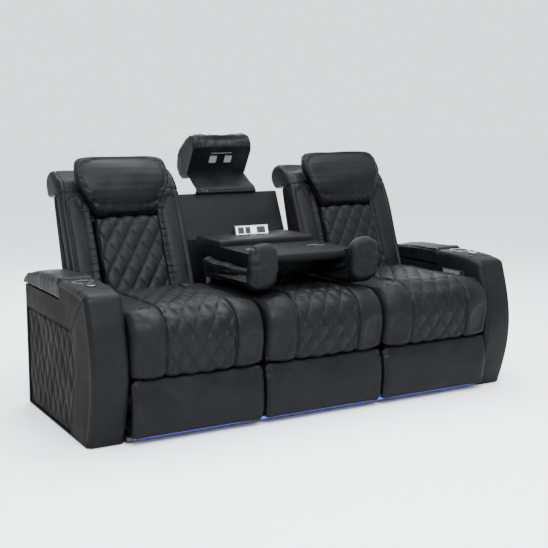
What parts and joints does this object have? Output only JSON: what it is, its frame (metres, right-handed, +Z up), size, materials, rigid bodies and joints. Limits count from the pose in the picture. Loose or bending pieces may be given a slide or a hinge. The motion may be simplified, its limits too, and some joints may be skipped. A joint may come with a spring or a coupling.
{
  "type": "reclining sofa with drop-down console",
  "caption": "Leather power sofa: two end seats with recline, footrest and tilting headrest, a middle back that folds down into a table with cups and outlets, and a flip-up middle headrest.",
  "frame": {"origin": "middle of the footprint, on the floor", "axes": "+X to a viewer's right when facing the sofa, along its width; +Y to the rear; +Z up"},
  "size_m": [2.1318, 1.2507, 1.2089],
  "materials": {
    "black_leather": "semi-matte top-grain hide, dyed black, with a fine grain and a cool sheen",
    "outer_leather": "the same hide on the outer sides and the rear, slightly flatter",
    "polished_steel": "polished stainless cups and rings",
    "zinc_steel": "zinc-plated links, pins and brackets",
    "black_steel": "black powder coat on frames, rails and drives",
    "timber": "plywood and pine inside the arms, lined black in the wells",
    "black_plastic": "satin black bezel",
    "rockers": "silver-grey rocker caps",
    "outlet_housing": "white outlet face in a black housing",
    "lamp_lens": "frosted lens in a silver bezel",
    "led": "blue light strip under the front"
  },
  "bodies": {
    "sofa_frame": {"base_frame": "black_steel", "centre_frame": "black_steel", "led_strip": "led", "rear_panel": "outer_leather", "centre_seat_cushion": "black_leather", "centre_front_panel": "black_leather", "left_arm_frame": "timber", "right_arm_frame": "timber", "left_arm_cover": "black_leather", "right_arm_cover": "black_leather", "left_arm_quilt": "outer_leather", "right_arm_quilt": "outer_leather", "left_control_panel": "black_plastic", "right_control_panel": "black_plastic", "lid_hinges": "zinc_steel", "arm_cup_holders": "polished_steel", "accessory_docks": "polished_steel"},
    "left_seat": {"left_seat_cushion": "black_leather", "left_seat_frame": "black_steel", "left_motor": "black_steel"},
    "left_back": {"left_back_frame": "black_steel", "left_back_wings": "black_leather", "left_lumbar_pad": "black_leather", "left_back_cover": "outer_leather"},
    "left_headrest": {"left_headrest_pad": "black_leather", "left_headrest_bracket": "zinc_steel"},
    "left_rear_links": {"left_footrest_rear_links": "zinc_steel"},
    "left_front_links": {"left_footrest_front_links": "zinc_steel"},
    "left_footrest": {"left_footrest_pad": "black_leather", "left_footrest_bracket": "zinc_steel"},
    "left_lid": {"left_storage_lid": "black_leather"},
    "left_rocker_front": {"left_rocker_front": "rockers"},
    "left_rocker_middle": {"left_rocker_middle": "rockers"},
    "left_rocker_rear": {"left_rocker_rear": "rockers"},
    "right_seat": {"right_seat_cushion": "black_leather", "right_seat_frame": "black_steel", "right_motor": "black_steel"},
    "right_back": {"right_back_frame": "black_steel", "right_back_wings": "black_leather", "right_lumbar_pad": "black_leather", "right_back_cover": "outer_leather"},
    "right_headrest": {"right_headrest_pad": "black_leather", "right_headrest_bracket": "zinc_steel"},
    "right_rear_links": {"right_footrest_rear_links": "zinc_steel"},
    "right_front_links": {"right_footrest_front_links": "zinc_steel"},
    "right_footrest": {"right_footrest_pad": "black_leather", "right_footrest_bracket": "zinc_steel"},
    "right_lid": {"right_storage_lid": "black_leather"},
    "right_rocker_front": {"right_rocker_front": "rockers"},
    "right_rocker_middle": {"right_rocker_middle": "rockers"},
    "right_rocker_rear": {"right_rocker_rear": "rockers"},
    "console": {"console_board": "black_leather", "console_wings": "black_leather", "console_cushion": "black_leather", "console_shelf": "black_leather", "console_cups": "polished_steel"},
    "outlet": {"outlet_pod": "outlet_housing"},
    "flip_headrest": {"centre_headrest": "black_leather", "centre_headrest_arms": "zinc_steel", "reading_lamps": "lamp_lens"}
  },
  "joints": [
    {"name": "left_seat_glide", "type": "slide", "parent": "sofa_frame", "child": "left_seat", "axis": [0, -1, 0], "range_m": [0, 0.09]},
    {"name": "left_recline", "type": "hinge", "parent": "left_seat", "child": "left_back", "pos_m": [-0.605, 0.0395, 0.43], "axis": [-1, 0, 0], "range_deg": [0, 35]},
    {"name": "left_headrest_tilt", "type": "hinge", "parent": "left_back", "child": "left_headrest", "pos_m": [-0.605, 0.19977, 0.86387], "axis": [1, 0, 0], "range_deg": [0, 35]},
    {"name": "left_footrest_raise", "type": "hinge", "parent": "left_seat", "child": "left_rear_links", "pos_m": [-0.605, -0.3855, 0.241], "axis": [-1, 0, 0], "range_deg": [0, 60.8]},
    {"name": "left_footrest_knee", "type": "hinge", "parent": "left_rear_links", "child": "left_front_links", "pos_m": [-0.605, -0.40293, 0.04176], "axis": [1, 0, 0], "range_deg": [0, 121.7]},
    {"name": "left_footrest_turn", "type": "hinge", "parent": "left_front_links", "child": "left_footrest", "pos_m": [-0.605, -0.42036, 0.241], "axis": [-1, 0, 0], "range_deg": [0, 150.9]},
    {"name": "left_lid_hinge", "type": "hinge", "parent": "sofa_frame", "child": "left_lid", "pos_m": [-0.985, 0.264, 0.5475], "axis": [-1, 0, 0], "range_deg": [0, 80]},
    {"name": "left_rocker_front_press", "type": "hinge", "parent": "sofa_frame", "child": "left_rocker_front", "pos_m": [-0.9065, -0.37006, 0.535], "axis": [0, 0, 1], "range_deg": [-5, 5], "stiffness_Nm_per_rad": 0.3},
    {"name": "left_rocker_middle_press", "type": "hinge", "parent": "sofa_frame", "child": "left_rocker_middle", "pos_m": [-0.9065, -0.32831, 0.535], "axis": [0, 0, 1], "range_deg": [-5, 5], "stiffness_Nm_per_rad": 0.3},
    {"name": "left_rocker_rear_press", "type": "hinge", "parent": "sofa_frame", "child": "left_rocker_rear", "pos_m": [-0.9065, -0.28656, 0.535], "axis": [0, 0, 1], "range_deg": [-5, 5], "stiffness_Nm_per_rad": 0.3},
    {"name": "right_seat_glide", "type": "slide", "parent": "sofa_frame", "child": "right_seat", "axis": [0, -1, 0], "range_m": [0, 0.09]},
    {"name": "right_recline", "type": "hinge", "parent": "right_seat", "child": "right_back", "pos_m": [0.605, 0.0395, 0.43], "axis": [-1, 0, 0], "range_deg": [0, 35]},
    {"name": "right_headrest_tilt", "type": "hinge", "parent": "right_back", "child": "right_headrest", "pos_m": [0.605, 0.19977, 0.86387], "axis": [1, 0, 0], "range_deg": [0, 35]},
    {"name": "right_footrest_raise", "type": "hinge", "parent": "right_seat", "child": "right_rear_links", "pos_m": [0.605, -0.3855, 0.241], "axis": [-1, 0, 0], "range_deg": [0, 60.8]},
    {"name": "right_footrest_knee", "type": "hinge", "parent": "right_rear_links", "child": "right_front_links", "pos_m": [0.605, -0.40293, 0.04176], "axis": [1, 0, 0], "range_deg": [0, 121.7]},
    {"name": "right_footrest_turn", "type": "hinge", "parent": "right_front_links", "child": "right_footrest", "pos_m": [0.605, -0.42036, 0.241], "axis": [-1, 0, 0], "range_deg": [0, 150.9]},
    {"name": "right_lid_hinge", "type": "hinge", "parent": "sofa_frame", "child": "right_lid", "pos_m": [0.985, 0.264, 0.5475], "axis": [-1, 0, 0], "range_deg": [0, 80]},
    {"name": "right_rocker_front_press", "type": "hinge", "parent": "sofa_frame", "child": "right_rocker_front", "pos_m": [0.9065, -0.37006, 0.535], "axis": [0, 0, 1], "range_deg": [-5, 5], "stiffness_Nm_per_rad": 0.3},
    {"name": "right_rocker_middle_press", "type": "hinge", "parent": "sofa_frame", "child": "right_rocker_middle", "pos_m": [0.9065, -0.32831, 0.535], "axis": [0, 0, 1], "range_deg": [-5, 5], "stiffness_Nm_per_rad": 0.3},
    {"name": "right_rocker_rear_press", "type": "hinge", "parent": "sofa_frame", "child": "right_rocker_rear", "pos_m": [0.9065, -0.28656, 0.535], "axis": [0, 0, 1], "range_deg": [-5, 5], "stiffness_Nm_per_rad": 0.3},
    {"name": "console_fold", "type": "hinge", "parent": "sofa_frame", "child": "console", "pos_m": [0, 0.0395, 0.577], "axis": [-1, 0, 0], "range_deg": [0, 114]},
    {"name": "outlet_flip", "type": "hinge", "parent": "console", "child": "outlet", "pos_m": [0, 0.1245, 0.733], "axis": [1, 0, 0], "range_deg": [0, 49]},
    {"name": "centre_headrest_fold", "type": "hinge", "parent": "sofa_frame", "child": "flip_headrest", "pos_m": [0, 0.3695, 0.93], "axis": [1, 0, 0], "range_deg": [0, 115]}
  ],
  "couplings": [
    {"joint": "left_recline", "follows": "left_seat_glide", "rad_per_m": 6.78},
    {"joint": "left_footrest_knee", "follows": "left_footrest_raise", "ratio": 2},
    {"joint": "left_footrest_turn", "follows": "left_footrest_raise", "ratio": 2.48},
    {"joint": "right_recline", "follows": "right_seat_glide", "rad_per_m": 6.78},
    {"joint": "right_footrest_knee", "follows": "right_footrest_raise", "ratio": 2},
    {"joint": "right_footrest_turn", "follows": "right_footrest_raise", "ratio": 2.48}
  ]
}
